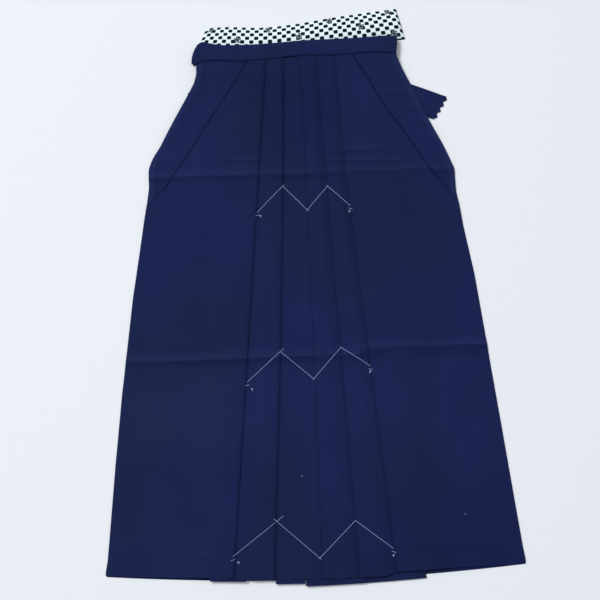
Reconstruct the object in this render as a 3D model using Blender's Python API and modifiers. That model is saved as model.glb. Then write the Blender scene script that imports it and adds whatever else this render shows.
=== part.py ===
"""Pleated divided trousers (hakama), laid out flat on a surface with the front up.

Every sewn piece is one sheet of cloth: a grid is laid along the piece's own fold lines, so a
pleat is the same cloth going out, back and out again, and Solidify gives it its wall. The plies
lie on each other with a small gap.

Across, x grows to the right. Down the legs, a "drop" is measured from the seam under the front
band. Tables are in millimetres and place() turns them into metres.
"""
import math

import bmesh
import bpy
from mathutils import Vector

MM = 0.001

# Driving dimensions
CLOTH = 1.0                 # wall of the cloth
GAP = 0.3                   # air between two plies
SEAM_GAP = 0.42             # air across a slanting seam, a little less at right angles to it
PITCH = CLOTH + GAP         # from one ply to the next
TURN = PITCH / 2            # half the height of a folded edge
LENGTH = 909.5              # front, from the band's seam to the hem
HEM_RISE = 1.13e-4          # the hem is a shallow arc: rise = HEM_RISE * (x - HEM_LOW_X)^2
HEM_LOW_X = 60.0
CROTCH_DROP = 350.0
PANEL_TOP = -17.0           # the front plies end inside the band

# The middle of the whole outline is the origin
MIDDLE_X = -9.5
MIDDLE_DROP = 418.7

# Levels, counted in plies from the surface up
BACK_LEVEL = 0
TIE_LEVEL = 1
GUSSET_LEVEL = 3
FRONT_LEVEL = 5

ROWS = (0, 26, 42, 66, 90, 110, 130, 145, 160, 173, 186, 201, 213, 225, 240, 256, 268, 280,
        300, 350, 430, 528, 543, 558, 650, 780)

# Creases pressed across the front. Columns: drop, height of the ridge, half its width
CREASES = ((213, 1.8, 12), (543, 1.8, 15))

# Front fold lines. Columns: side, x at the waist, notch, knee and hem, depth of the pleat at
# the waist and at the hem
STATIONS = (0, 215, 560, 905)
FRONT_FOLDS = (
    ("left", (-26, -35, -55, -79), 14, 34),
    ("left", (-57, -78, -112, -146), 14, 40),
    ("right", (3, 5, 3, 0), 14, 40),
    ("right", (33, 40, 51, 62), 14, 40),
    ("right", (66, 74, 99, 124), 14, 52),
)
CENTRE_FOLD = 2             # the centre seam lies under this fold's pleat

# Hem drops below the hem's arc, for each fold from the centre seam outward: the panel before
# it, the ply under the pleat, the pleat's cover
HEM_DROPS = {
    "left": ((0.8, 2.5, 0.6), (0.2, 4.0, -2.6)),
    "right": ((8.0, 3.0, 0.6), (1.2, -1.0, 1.0), (-2.6, -3.4, -5.0)),
}
SIDE_HEM_DROP = {"left": 0.0, "right": -1.0}

# Outlines. Columns: drop, x
SIDE_EDGE = {
    "left": ((-22, -174), (0, -181), (26, -181.5), (42, -186), (66, -199), (110, -224),
             (160, -251), (173, -260.5), (186, -267), (198, -271.5), (232, -271.5),
             (256, -275), (300, -283), (430, -304), (600, -326), (720, -339), (905, -357)),
    "right": ((-22, 173), (0, 175.5), (16, 179), (38, 188), (62, 199.5), (130, 227.5),
              (175, 249.3), (198, 259.2), (219, 266.5), (262, 267), (280, 270), (324, 275.5),
              (412, 288.9), (500, 297.8), (714, 319), (905, 338)),
}
SIDE_OPENING = {
    "left": ((-22, -87.5), (0, -87.5), (10, -90.5), (67, -129), (106, -155.4),
             (170, -197.6), (205, -223.7), (231, -240.5), (268, -277)),
    "right": ((-22, 96.5), (0, 96.5), (52, 125.5), (72, 135.5), (107, 154), (145, 179),
              (183, 202), (207, 216), (229, 230), (250, 248), (280, 270)),
}
OPENING_END = {"left": 268, "right": 280}
SIGN = {"left": -1, "right": 1}

# The front rises a little towards the waist, over what is folded under it
LIFT = 5.0
LIFT_FROM, LIFT_TO = 60.0, 0.0

# Where the legs' cloth comes down from the pleats to the side seams
FLAT_HALF = 150.0
FALL_FROM, FALL_TO = 125.0, 205.0
FALL = (FRONT_LEVEL - 1) * PITCH
PLEAT_REST = 3.0            # a pleat's cover stays level this far past the fold below it
PLEAT_TUCK = 2.0            # and is down again this far before the next fold
OPENING_EASE = 60.0         # past the side opening the panel comes down over this length
PANEL_PLY = 2.1             # level of the plain panel, clear of the side pleat's turning cloth
PANEL_SHARES = (0.25, 0.55, 0.8, 1.0)  # columns of the plain panel, from the last pleat to its edge
LAP = 12.0                  # the side pleat runs this far under the front's slanting edge

# Side pleat strips end just under the notch
SIDE_PLEAT_END = {"left": 256, "right": 268}

# Back pleats. Columns: side, pleat depth at the waist and at the hem, hem drop of the outside
# at the centre and at the side, hem drop of the pleat at its inner and at its outer fold
BACK_FOLD_X = 0.9
BACK_PLEATS = {
    "left": (28, 130, 3.0, 2.0, 3.0, 3.0),
    "right": (28, 172, 4.8, 1.3, 13.0, 9.2),
}

# Gussets of the inner legs. Columns: side, x of the seam and of the fold at the crotch, the
# same at the hem, hem drop at the seam and at the fold
GUSSETS = {
    "left": (-4, -22, -28, -76.5, 8.6, 8.6),
    "right": (4, 22, -27, 72, 13.0, 11.0),
}

# Bands. Columns of the front one: x and drop of the lower edge, x and drop of the upper edge.
# Columns of the back one: x of the lower edge, x and drop of the upper edge. Its lower edge is
# the back's seam, whose columns are x and drop
FRONT_BAND = (
    (-189.3, 9.5, -186.0, -12.5), (-185.2, 13.0, -180.6, -20.0), (-182.0, 13.8, -176.0, -28.0),
    (-177.5, 9.2, -168.0, -32.0), (-170.0, 4.2, -158.0, -29.5), (-147.0, 3.0, -137.0, -25.0),
    (-110.0, 6.3, -107.0, -23.6), (-75.0, 6.2, -73.0, -23.4), (-30.0, 3.4, -30.0, -25.0),
    (10.0, 0.8, 10.0, -27.1), (55.0, 2.6, 56.0, -27.4), (95.0, 2.0, 96.0, -27.5),
    (125.0, 0.3, 127.0, -28.4), (150.0, 1.2, 154.0, -29.5), (176.0, 3.5, 181.0, -28.5),
)
BAND_FOLD = 2.6
BAND_BACK_EDGE = -5.0
BACK_BAND = (
    (-184, -162.5, -62.5), (-137, -125, -63.5), (-66, -62, -59.5), (0, 0, -63.5),
    (68, 65, -72.5), (134, 125, -79.0), (196, 183, -84.5),
)
BACK_SEAM = ((-200, -5.0), (0, -5.0), (200, -27.0))
FACING_HEM = 2.7            # the facing ends this far above the back band's lower edge
FACING_SIDE = 1.2           # and this far inside its right end
FACING_CROWN = 7.0          # it arches this high over the band, which is stiffened
FACING_STEPS = 8

# Ties, folded to and fro between back and front
TIE_PLIES = 4
FRONT_TIE = {"width": 30.0, "x": 110.0, "top": 115.0, "run": 385.0}
BACK_TIE = {"width": 48.0, "x": 198.5, "top": 60.4, "run": 133.0, "slope": 21.3}
# The free end that comes out at the right side. Columns: run past the fold, height of the ply
FREE_END = ((22, 4.4), (46, 2.3), (56, 0.9))
FREE_END_REACH = (69.8, 61.3)
PINKING = 3.2
PINKED_EDGES = 9


def at(table, drop):
    """Read a short table of (drop, value) with straight lines between its rows."""
    if drop <= table[0][0]:
        return table[0][1]
    for (drop_a, value_a), (drop_b, value_b) in zip(table, table[1:]):
        if drop <= drop_b:
            return value_a + (value_b - value_a) * (drop - drop_a) / (drop_b - drop_a)
    return table[-1][1]


def mix(a, b, share):
    return a + (b - a) * share


def place(x, drop, height):
    return Vector(((x - MIDDLE_X) * MM, (MIDDLE_DROP - drop) * MM, height * MM))


def ply_height(level):
    return CLOTH / 2 + level * PITCH


def hem_drop(x):
    return LENGTH - HEM_RISE * (x - HEM_LOW_X) ** 2


def front_height(side, x, drop, ply):
    """Height of a front ply: level over the pleats, falling to the side seams on the legs."""
    seam = abs(at(SIDE_EDGE[side], drop))
    across = max(0.0, abs(x) - FLAT_HALF) / (seam - FLAT_HALF)
    down = min(1.0, max(0.0, (drop - FALL_FROM) / (FALL_TO - FALL_FROM)))
    ridge = sum(height * max(0.0, 1 - abs(drop - line) / half) for line, height, half in CREASES)
    lift = LIFT * min(1.0, max(0.0, (LIFT_FROM - drop) / (LIFT_FROM - LIFT_TO)))
    return ply_height(FRONT_LEVEL + ply) - FALL * min(1.0, across) * down + ridge + lift


def turn(x, way, ply_a, ply_b, drop_a, drop_b):
    """The three points of a folded edge at x whose round side faces `way`."""
    return [
        (x - way * TURN, ply_a, drop_a),
        (x, (ply_a + ply_b) / 2, (drop_a + drop_b) / 2),
        (x - way * TURN, ply_b, drop_b),
    ]


def pleated_row(side, drop):
    """One row across a front piece, as (x, ply, hem drop) from the centre seam to its edge."""
    sign = SIGN[side]
    share_down = max(0, drop) / STATIONS[-1]
    _, centre_line, centre_waist, centre_hem = FRONT_FOLDS[CENTRE_FOLD]
    seam = at(list(zip(STATIONS, centre_line)), drop) + mix(centre_waist, centre_hem, share_down) / 2
    folds = [fold for fold in FRONT_FOLDS if fold[0] == side]
    points = [(seam + sign * SEAM_GAP / 2, 0, HEM_DROPS[side][0][0])]
    for index, ((_, line, waist_depth, hem_depth), (under, back, cover)) in enumerate(
            zip(folds, HEM_DROPS[side])):
        fold = at(list(zip(STATIONS, line)), drop)
        outer = fold + sign * mix(waist_depth, hem_depth, share_down)
        if index or side == "left":
            points.append((fold - sign * PLEAT_TUCK, 0, under))
        points += turn(outer, sign, 0, 1, back, back)
        points += turn(fold, -sign, 1, 2, cover, cover)
        points.append((outer + sign * PLEAT_REST, 2, cover))
    start = outer + sign * PLEAT_REST
    edge = at(SIDE_OPENING[side] if drop < OPENING_END[side] else SIDE_EDGE[side], drop)
    ply = PANEL_PLY * (1 - min(1, max(0, drop - OPENING_END[side]) / OPENING_EASE))
    for share in PANEL_SHARES:
        x = mix(start, edge, share)
        points.append((x, ply, mix(cover, SIDE_HEM_DROP[side], share)))
    return points


def sheet(name, rows, material):
    """A grid laid on rows of points, with the cloth's wall."""
    count_across, count_down = len(rows[0]), len(rows)
    mesh = bpy.data.meshes.new(name)
    bm = bmesh.new()
    bmesh.ops.create_grid(bm, x_segments=count_across - 1, y_segments=count_down - 1, size=1)
    for vert in bm.verts:
        column = round((vert.co.x + 1) / 2 * (count_across - 1))
        row = round((vert.co.y + 1) / 2 * (count_down - 1))
        vert.co = rows[row][column]
    bm.to_mesh(mesh)
    bm.free()
    mesh.materials.append(material)
    thing = bpy.data.objects.new(name, mesh)
    collection.objects.link(thing)
    wall = thing.modifiers.new("cloth", "SOLIDIFY")
    wall.thickness = CLOTH * MM
    wall.offset = 0
    wall.use_even_offset = True
    wall.use_quality_normals = True
    return thing


def cloth_material(name, colour, roughness):
    material = bpy.data.materials.new(name)
    material.use_nodes = True
    shader = material.node_tree.nodes["Principled BSDF"]
    shader.inputs["Base Color"].default_value = (*colour, 1)
    shader.inputs["Roughness"].default_value = roughness
    shader.inputs["Metallic"].default_value = 0
    material.diffuse_color = (*colour, 1)
    return material


def front(side):
    rows = []
    for drop in (PANEL_TOP, *ROWS):
        rows.append([place(x, drop, front_height(side, x, drop, ply))
                     for x, ply, _ in pleated_row(side, drop)])
    last = STATIONS[-1]
    rows.append([place(x, hem_drop(x) + lower, front_height(side, x, last, ply))
                 for x, ply, lower in pleated_row(side, last)])
    sheet("front_" + side, rows, navy)


def side_pleat(side):
    """The strip that fills the side opening: its outer edge is a fold, its inner edges lie
    under the front's slanting edge."""
    sign = SIGN[side]
    rows = []
    for drop in [PANEL_TOP] + [row for row in ROWS if row <= SIDE_PLEAT_END[side]]:
        inner = at(SIDE_OPENING[side], drop) - sign * LAP
        outer = at(SIDE_EDGE[side], drop)
        middle = mix(inner, outer, 0.5)
        section = [(inner, 0, 0), (middle, 0, 0), *turn(outer, sign, 0, 1, 0, 0),
                   (middle, 1, 0), (inner, 1, 0)]
        rows.append([place(x, drop, front_height(side, x, drop, ply)) for x, ply, _ in section])
    sheet("side_pleat_" + side, rows, navy)


def back(side):
    """The outside lies on the surface; the centre pleat goes out over it and comes back."""
    sign = SIGN[side]
    waist_depth, hem_depth, centre_lower, side_lower, pleat_lower, fold_lower = (
        BACK_PLEATS[side])
    rows = []
    for drop in (None, *ROWS, STATIONS[-1]):
        at_waist, at_hem = drop is None, drop == STATIONS[-1]
        drop = drop or 0
        edge = at(SIDE_EDGE[side], drop)
        fold = sign * BACK_FOLD_X
        reach = sign * mix(waist_depth, hem_depth, max(0, drop) / STATIONS[-1])
        section = [(edge, 0, side_lower), (mix(edge, fold, 0.5), 0, centre_lower)]
        section += turn(fold, -sign, 0, 1, centre_lower, pleat_lower)
        section += turn(reach, sign, 1, 2, fold_lower, fold_lower)
        section.append((fold, 2, pleat_lower))
        row = []
        for x, ply, lower in section:
            level = at(BACK_SEAM, x) + SEAM_GAP if at_waist else hem_drop(x) + lower if at_hem else drop
            row.append(place(x, level, ply_height(BACK_LEVEL + ply)))
        rows.append(row)
    sheet("back_" + side, rows, navy)


def gusset(side):
    """A long triangle of cloth folded in half along the inner leg."""
    sign = SIGN[side]
    crotch_inner, crotch_outer, hem_inner, hem_outer, inner_lower, outer_lower = GUSSETS[side]
    rows = []
    for drop in [row for row in ROWS if row >= CROTCH_DROP] + [STATIONS[-1]]:
        share = (drop - CROTCH_DROP) / (STATIONS[-1] - CROTCH_DROP)
        inner = mix(crotch_inner, hem_inner, share)
        outer = mix(crotch_outer, hem_outer, share)
        section = [(inner, 0, inner_lower), *turn(outer, sign, 0, 1, outer_lower, outer_lower),
                   (inner, 1, inner_lower)]
        at_hem = drop == STATIONS[-1]
        rows.append([place(x, hem_drop(x) + lower if at_hem else drop,
                           ply_height(GUSSET_LEVEL + ply)) for x, ply, lower in section])
    sheet("gusset_" + side, rows, navy)


def front_band():
    """A strip folded over the top edges of the front plies."""
    top = ply_height(FRONT_LEVEL + PANEL_PLY + 1) + LIFT
    bottom = ply_height(FRONT_LEVEL - 1) + LIFT
    rows = []
    for low_x, lower, high_x, upper in FRONT_BAND:
        section = [
            (lower, top), (mix(lower, upper, 0.5), top), (upper + BAND_FOLD, top),
            (upper + BAND_FOLD / 4, mix(top, bottom, 0.25)), (upper, mix(top, bottom, 0.5)),
            (upper + BAND_FOLD / 4, mix(top, bottom, 0.75)), (upper + BAND_FOLD, bottom),
            (BAND_BACK_EDGE, bottom),
        ]
        rows.append([place(mix(low_x, high_x, (lower - drop) / (lower - upper)), drop, height)
                     for drop, height in section])
    sheet("front_band", rows, navy)


def back_band():
    rows = [[place(low_x, at(BACK_SEAM, low_x), ply_height(BACK_LEVEL)),
             place(high_x, upper, ply_height(BACK_LEVEL))]
            for low_x, high_x, upper in BACK_BAND]
    sheet("back_band", rows, navy)


def back_facing():
    """The check cloth on the inner side of the back band, arched over its stiffening."""
    rows = []
    for index, (low_x, high_x, upper) in enumerate(BACK_BAND):
        inset = FACING_SIDE if index == len(BACK_BAND) - 1 else 0
        row = []
        for step in range(FACING_STEPS + 1):
            share = step / FACING_STEPS
            height = ply_height(BACK_LEVEL + 1) + FACING_CROWN * math.sin(math.pi * share) ** 0.8
            row.append(place(mix(low_x, high_x, share) - inset,
                             mix(at(BACK_SEAM, low_x) - FACING_HEM, upper, share), height))
        rows.append(row)
    sheet("back_facing", rows, check)


def tie_path(run):
    """Run and height along a tie that is folded to and fro, ply on ply."""
    path = [(run, ply_height(TIE_LEVEL))]
    for ply in range(TIE_PLIES - 1):
        edge, way = (run, 1) if ply % 2 else (0, -1)
        for x, level, _ in turn(edge, way, ply, ply + 1, 0, 0):
            path.append((x, ply_height(TIE_LEVEL + level)))
    path.append((run, ply_height(TIE_LEVEL + TIE_PLIES - 1)))
    return path


def front_tie(side):
    """Hangs straight down inside the leg."""
    sign = SIGN[side]
    inner = sign * FRONT_TIE["x"]
    outer = inner + sign * FRONT_TIE["width"]
    rows = [[place(x, FRONT_TIE["top"] + run, height) for x in (inner, outer)]
            for run, height in tie_path(FRONT_TIE["run"])]
    sheet("front_tie_" + side, rows, navy)


def back_tie(side):
    """Lies under the front below the band, sloping down to the side; the right one's end
    comes out at the side and down to the surface."""
    slope = math.radians(BACK_TIE["slope"])
    run_length = BACK_TIE["run"]
    sign = SIGN[side]
    steps = PINKED_EDGES - 1

    def tie_point(run, across, height):
        along = run - run_length
        x = BACK_TIE["x"] + along * math.cos(slope) - across * math.sin(slope)
        drop = BACK_TIE["top"] + along * math.sin(slope) + across * math.cos(slope)
        return place(sign * x, drop, height)

    shares = [step / steps for step in range(PINKED_EDGES)] if side == "right" else (0, 1)
    rows = []
    for run, height in tie_path(run_length):
        rows.append([tie_point(run, share * BACK_TIE["width"], height) for share in shares])
    if side == "right":
        for past, height in FREE_END:
            rows.append([tie_point(run_length + past, share * BACK_TIE["width"], height)
                         for share in shares])
        end = []
        for index, share in enumerate(shares):
            reach = mix(*FREE_END_REACH, share) + (PINKING if index % 2 else 0)
            end.append(tie_point(run_length + reach, share * BACK_TIE["width"], CLOTH / 2))
        rows.append(end)
    sheet("back_tie_" + side, rows, navy)


for old in list(bpy.data.objects):
    bpy.data.objects.remove(old, do_unlink=True)

collection = bpy.data.collections.new("hakama_trousers")
bpy.context.scene.collection.children.link(collection)
navy = cloth_material("navy_cloth", (0.012, 0.016, 0.07), 0.9)
check = cloth_material("check_cloth", (0.35, 0.38, 0.4), 0.85)

for leg in ("left", "right"):
    back(leg)
    gusset(leg)
    front(leg)
    side_pleat(leg)
    front_tie(leg)
    back_tie(leg)
front_band()
back_band()
back_facing()
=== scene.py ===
"""Pleated hakama trousers laid out flat with the front up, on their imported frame.

Sizes in the tables are in millimetres: x grows to the right, a drop is measured down the legs
from the seam under the front band. place() turns them into metres in the frame.
"""
import math
from itertools import accumulate, chain

import bmesh
import bpy
from bpy.props import FloatProperty, FloatVectorProperty, PointerProperty
from bpy.types import Operator, Panel, PropertyGroup
from mathutils import Euler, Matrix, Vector, noise
from mathutils.bvhtree import BVHTree


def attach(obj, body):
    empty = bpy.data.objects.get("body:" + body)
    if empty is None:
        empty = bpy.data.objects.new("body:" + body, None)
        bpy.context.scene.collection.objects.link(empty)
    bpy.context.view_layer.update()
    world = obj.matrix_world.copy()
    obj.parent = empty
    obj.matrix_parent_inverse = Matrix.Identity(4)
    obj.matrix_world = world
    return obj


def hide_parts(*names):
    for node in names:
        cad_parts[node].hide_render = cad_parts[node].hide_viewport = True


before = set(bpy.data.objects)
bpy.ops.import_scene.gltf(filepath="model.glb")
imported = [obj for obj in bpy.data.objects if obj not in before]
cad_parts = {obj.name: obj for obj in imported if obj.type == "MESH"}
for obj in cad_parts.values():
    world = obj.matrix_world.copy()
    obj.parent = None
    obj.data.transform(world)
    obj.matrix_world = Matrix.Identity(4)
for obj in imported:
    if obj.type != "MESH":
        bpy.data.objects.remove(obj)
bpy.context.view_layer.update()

bl_info = {
    "name": "Hakama Trousers",
    "version": (1, 0, 0),
    "blender": (4, 5, 0),
    "location": "3D View > Sidebar > Hakama",
    "description": "Builds pleated hakama trousers laid out flat, ply by ply",
    "category": "Add Mesh",
}

MM = 0.001
BODY = "root"
DONE = {"FINISHED"}
SHARP_EDGE = math.radians(50)
SIDES = ("left", "right")
SIGN = {"left": -1, "right": 1}

# Plies of the frame
CLOTH = 1
PITCH = 1.3
TURN = PITCH / 2
BACK_LEVEL, TIE_LEVEL, GUSSET_LEVEL, FRONT_LEVEL = 0, 1, 3, 5
MIDDLE_X = -9.5
MIDDLE_DROP = 418.7

# Lengths
LENGTH = 909.5
HEM_RISE = 1.13e-4          # how the hem curves up to either side of its lowest point
HEM_LOW_X = 60
CROTCH_DROP = 350
PANEL_TOP = -17
TURN_UP = 37                # depth of the hem
TURN_UP_STEP = 0.35         # each turned-up ply lifts what lies on it
TURN_UP_OVER = (-2, 1)      # where that step begins and ends, past the turned-up edge
HEM_WEAR, HEM_WEAR_DEPTH = 0.5, 2
# Shade painted along the hem's seam: half its width, how dark it is, the length that varies over
HEM_SEAM_HALF, HEM_SEAM_SHADE, HEM_SEAM_CHANGE = 3.5, (0.25, 1.1), 34

# Rows down the panels: the finest and the widest step, then where they lie close, as
# (drop, reach)
FRONT_ROWS = (1.6, 7.5, (0, 9), (208, 20), (544, 20), (LENGTH - TURN_UP, 4), (LENGTH, 5))
BACK_ROWS = (2.5, 9, (208, 12), (544, 12), (LENGTH, 5))
WIDENING = 0.3              # how fast the steps grow away from there
SLANT_STEP = 20             # drop over which a fold line's slant is measured

# Front folds from the centre out. Columns: x at the waist, notch, knee and hem, depth at waist
# and hem, and the hem drops of the face before the fold, of its back and of its own face
STATIONS = (0, 215, 560, 905)
FRONT_FOLDS = {
    "left": (((-26, -35, -55, -79), 14, 34, 0.8, 2.5, 0.6),
             ((-57, -78, -112, -146), 14, 40, 0.2, 4, -2.6)),
    "right": (((3, 5, 3, 0), 14, 40, 8, 3, 0.6),
              ((33, 40, 51, 62), 14, 40, 1.2, -1, 1),
              ((66, 74, 99, 124), 14, 52, -2.6, -3.4, -5)),
}
FOLD_REACH = 40             # over which a fold line's corners are rounded
CENTRE_GAP = 0.15
HEM_STEP_BEFORE = 20        # where the ply under the left pleat starts to show
SIDE_HEM_DROP = {"left": 0, "right": -1}

# Outlines. Columns: drop, x
SIDE_EDGE = {
    "left": ((-22, -174), (0, -181), (26, -181.5), (42, -186), (66, -199), (110, -224),
             (160, -251), (173, -260.5), (186, -267), (198, -271.5), (232, -271.5),
             (256, -275), (300, -283), (430, -304), (600, -326), (720, -339), (905, -357)),
    "right": ((-22, 173), (0, 175.5), (16, 179), (38, 188), (62, 199.5), (130, 227.5),
              (175, 249.3), (198, 259.2), (219, 266.5), (262, 267), (280, 270), (324, 275.5),
              (412, 288.9), (500, 297.8), (714, 319), (905, 338)),
}
# and of the side openings of the front, down to where they end
SIDE_OPENING = {
    "left": ((-22, -87.5), (0, -87.5), (10, -90.5), (67, -129), (106, -155.4),
             (170, -197.6), (205, -223.7), (231, -240.5), (268, -277)),
    "right": ((-22, 96.5), (0, 96.5), (52, 125.5), (72, 135.5), (107, 154), (145, 179),
              (183, 202), (207, 216), (229, 230), (250, 248), (280, 270)),
}
OPENING_END = {"left": 268, "right": 280}
CORNER, WIDE_CORNER = 4, 5  # over which the corners of an outline are rounded

# How the front lies: lifted under the band and pressed together there, level over the pleats,
# falling to the side seams
LIFT, LIFT_OVER = 5, (60, 0)
PRESSED_AT_BAND, PRESSED_OVER, PRESSED_PLIES = 0.45, (55, 8), 1.5  # share, drops, plies
FLAT_HALF = 150
FALL_FROM, FALL_TO = 125, 205
FALL = (FRONT_LEVEL - 1) * PITCH

# Its pleats, and the hollow before each fold's edge
PLEAT_REST, PLEAT_TUCK = 3, 1.4
HOLLOW_WIDTH, HOLLOW_FROM, HOLLOW_PLY = 6.5, 0.6, 0.1
FOLD_ROUND, FOLD_SINK = 6, 0.5
STEP_WIDTH = 0.8            # of the step at the hem under the left pleat

# Its outer edge: open down to the opening's end, then a seam
SEAM_ALLOWANCE = 14
EDGE_ROUND, EDGE_SINK = 2.5, 0.25
EDGE_PAINTED_SHADE = 3             # how much shade is painted along it
# Drop past the opening's end over which the edge eases flat, and where its painted shade starts to
# fade
OPENING_EASE, OPENING_SHADE_FROM = 60, -10

# The strip folded into each side opening
LAP = 12
SIDE_STRIP_ROWS = 100
SIDE_PLEAT_END = {"left": 273, "right": 285}
SIDE_PLEAT_LEAST = 5
SIDE_HEM = 10               # the side opening's own hem
SIDE_HEM_STEP, SIDE_HEM_SOFT, SIDE_HEM_WEAR = 0.4, 1.2, 0.4
# Shade painted along the side hem's seam: how dark, half its width
SIDE_SEAM_SHADE, SIDE_SEAM_HALF = 0.55, 1.6
SIDE_BRINK = 4.5            # from the opening to where the strip starts to sink
SIDE_HEM_MOST, SIDE_BRINK_MOST = 0.6, 0.2   # shares of a narrow strip that they may take
PUCKER, PUCKER_LENGTH = (0.7, 0.6), 9   # of the hem's step, along the strip

# Back pleats. Columns: depth at waist and hem, hem drop at the centre, the side and the pleat
BACK_PLEATS = {"left": (28, 130, 3, 2, 3, 3),
               "right": (28, 172, 4.8, 1.3, 13, 9.2)}
BACK_FOLD_X = 0.9
BACK_COLUMNS = 34
SEAM_GAP = 0.3
BACK_SEAM = ((-200, -5), (0, -5), (200, -27))

# Gussets. Columns: x of the seam and of the fold at the crotch, the same at the hem, hem drops
GUSSETS = {"left": ((-4, -22), (-28, -76.5), (8.6, 8.6)), "right": ((4, 22), (-27, 72), (13, 11))}
GUSSET_ROWS = 70

# Bands. Columns of the front one: x and drop of the lower edge, x and drop of the upper edge;
# of the back one: x of the lower edge, x and drop of the upper edge
FRONT_BAND = (
    (-187, 9.4, -185.6, -11.4), (-186, 12.4, -184.2, -16.5), (-184, 13.6, -181.4, -22),
    (-180.5, 10.2, -176.5, -28.5), (-176, 6.8, -168, -32), (-169, 4.6, -158, -29.5),
    (-147, 3, -137, -25), (-110, 6.3, -107, -23.6),
    (-75, 6.2, -73, -23.4), (-30, 3.4, -30, -25), (10, 0.8, 10, -27.1),
    (55, 2.6, 56, -27.4), (95, 2, 96, -27.5), (125, 0.3, 127, -28.4),
    (150, 1.2, 154, -29.5), (174, 3.5, 179, -28.5),
)
BAND_CORNERS = 5            # rows of the left end that double back
BACK_BAND = (
    (-184, -162.5, -62.5), (-137, -125, -63.5), (-66, -62, -59.5), (0, 0, -63.5),
    (68, 65, -72.5), (134, 125, -79), (196, 183, -84.5),
)
BAND_BACK_EDGE = -5
BAND_CROWN = 0.5
BAND_BACK_PLY = -1          # level of its back, under the front plies
BAND_PLY = 2.75             # level of its front over them
BAND_SIDE_PLY, BAND_FACE_PLY = 2.2, 2.55   # levels above which it is crowned and has shade painted at its lower edge
# Shade painted along the band's lower edge, on its front
BAND_SEAM_SHADE = 0.7
BAND_PAINTED_SHADOW = (5, 0.5)       # painted shadow under the band: how far below its edge the front darkens, and is darkest
BAND_END, BAND_END_TAPER, BAND_END_WEAR = 2.6, 0.7, 0.3
BAND_END_STEPS = (0.5, 0.8, 0.95, 1)
BAND_END_RISE = 0.8         # of its closed ends over the middle of the front
BAND_ROWS = 170
BAND_COLUMNS = (2, 8, 12)    # up its back, round its top, down its front
# The lower edge rolls under and is turned in. Columns: distance above the edge, plies below
# the band's front
BAND_EDGE = ((0.4, 0), (0, 0.1), (-0.15, 0.28), (0, 0.46), (0.4, 0.55), (4.5, 0.55),
             (9, 0.55))
CHECK_FORESHORTENED = 0.82  # height of a square of the check over its width
FACING_HEM = 2.7
FACING_SIDE = 1.2
FACING_CROWN, FACING_FULLNESS = 7, 0.8
FACING_DEPTH = 60
FACING_END = 7
FACING_ROWS, FACING_COLUMNS = 130, 28
FACING_TUCK = (0.5, 0.85)   # how far it goes over the top edge and down behind it
BACK_BAND_ROWS, BACK_BAND_COLUMNS = 60, 8

# Ties
TIE_PLIES = 4
TIE_WALL = 1.5              # a tie is cloth folded double, pressed thin
FRONT_TIE = {"width": 30, "x": 110, "top": 115, "run": 385}
TIE_STEP = 12
BACK_TIE = {"width": 48, "x": 198.5, "top": 60.4, "run": 133, "slope": 21.3}
# The free end: its height over the floor along it, and how far its two edges reach
FREE_END = ((0, 5.7), (22, 4.4), (46, 2.3), (56, 0.9), (80, 0.6))
FREE_END_REACH = (73, 64.5)
FREE_END_BOW = 0.5
FREE_END_ROWS = 22
PINKING = 4.8               # depth of a tooth
PINKED_TEETH = 4

# Creases across the front. Columns: x and drop of one end, x and drop of the other, height of
# the ridge, its width above and below the crest
CREASES = (
    (-290, 213, 25, 220.5, 2.4, 18, 17), (-20, 219, 290, 219.5, 2, 16, 15),
    (-215, 165, -65, 166, 1.6, 10, 8), (-160, 189, -60, 191, 1.7, 9, 7),
    (30, 183, 165, 178, 2, 9, 8), (40, 198, 200, 203, 1.9, 10, 6),
    (60, 233, 250, 228, 0.8, 12, 10), (-230, 236, -120, 240, 0.7, 14, 12),
    (-335, 538, -95, 541, 2.8, 19, 17), (-130, 540, 100, 542, 2.6, 18, 17),
    (72, 533, 325, 533, 2.7, 18, 27), (120, 512, 320, 506, 0.9, 12, 10),
    (150, 560, 300, 566, 0.8, 8, 9), (-322, 502, -190, 510, 1.1, 16, 10),
    (-300, 572, -150, 578, 0.8, 9, 12), (55, 366, 142, 361, 1.2, 7, 6),
    (92, 384, 160, 386, 1.1, 8, 6), (100, 402, 150, 398, 0.7, 6, 6),
    (-170, 336, -90, 330, 0.8, 9, 9), (-290, 268, -225, 280, 1.1, 10, 9),
    (-300, 330, -245, 335, 0.8, 9, 9), (-345, 700, -250, 716, 0.9, 18, 14),
    (190, 690, 320, 676, 0.8, 18, 14), (150, 866, 300, 870, 0.9, 10, 8),
    (-120, 858, -20, 862, 0.8, 8, 7), (-260, 862, -130, 868, 0.8, 8, 7),
    (-40, 120, 30, 112, 0.8, 12, 9), (-35, 70, 25, 66, 0.7, 9, 8),
    (140, 72, 212, 84, 1.6, 9, 7), (156, 100, 222, 112, 1.5, 9, 7),
    (178, 128, 238, 137, 1.5, 9, 7), (200, 160, 262, 168, 1.4, 9, 8),
    (125, 40, 190, 46, 1.2, 7, 6), (-185, 30, -112, 22, 1.2, 8, 6),
    (-205, 62, -125, 52, 1.6, 9, 7), (-228, 102, -150, 93, 1.3, 9, 7),
    (-252, 146, -180, 138, 1.4, 9, 7), (-272, 186, -205, 178, 1.3, 9, 8),
    (236, 222, 290, 232, 1.2, 9, 8), (240, 262, 285, 268, 1, 9, 8),
    (230, 306, 290, 312, 1.1, 10, 8), (-300, 388, -240, 380, 0.9, 10, 9),
)
CREASE_FADE = 28
RISE_CURVE, FALL_CURVE = 1.4, 2   # how fast a crease rises to its edge and falls from it
CREASE_STRAY, CREASE_STRAY_LENGTH = 2, 45   # how far it strays, over what length
CREASE_STRENGTH, CREASE_CHANGE_LENGTH = (0.75, 0.5), 60   # and how its strength changes
CREASE_CREST = 1.5          # the painted light and shade fade out this near the crest
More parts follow.
